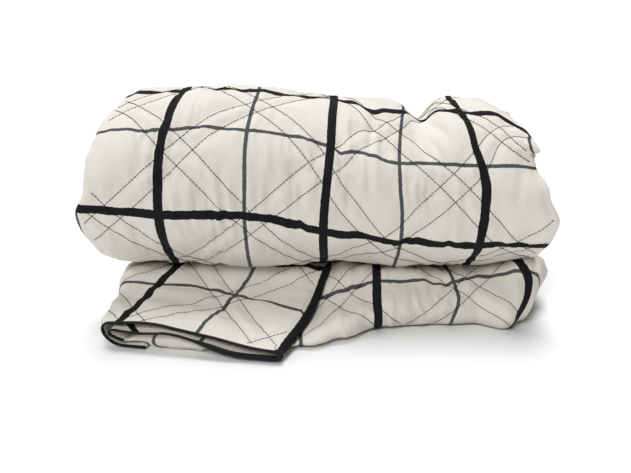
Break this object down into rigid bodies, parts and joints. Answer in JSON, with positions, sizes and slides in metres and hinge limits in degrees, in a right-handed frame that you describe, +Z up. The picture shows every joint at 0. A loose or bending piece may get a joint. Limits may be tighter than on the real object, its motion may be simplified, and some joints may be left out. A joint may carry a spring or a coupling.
{
  "type": "bedspread",
  "caption": "Quilted bedspread folded lengthwise and rolled up, printed with a windowpane check, its black-bound loose end lying flat in front of the roll.",
  "frame": {"origin": "on the surface it rests on, under the roll's axis at the middle of its width", "axes": "+X along the roll, +Y away from the loose end, +Z up"},
  "size_m": [0.5495, 0.3057, 0.2627],
  "materials": {
    "quilted_cotton": "matt printed cotton, stitched through thin wadding",
    "black_binding": "matt woven cotton tape"
  },
  "bodies": {
    "root": {"quilted_cover": "quilted_cotton", "hem_binding": "black_binding"}
  },
  "joints": []
}
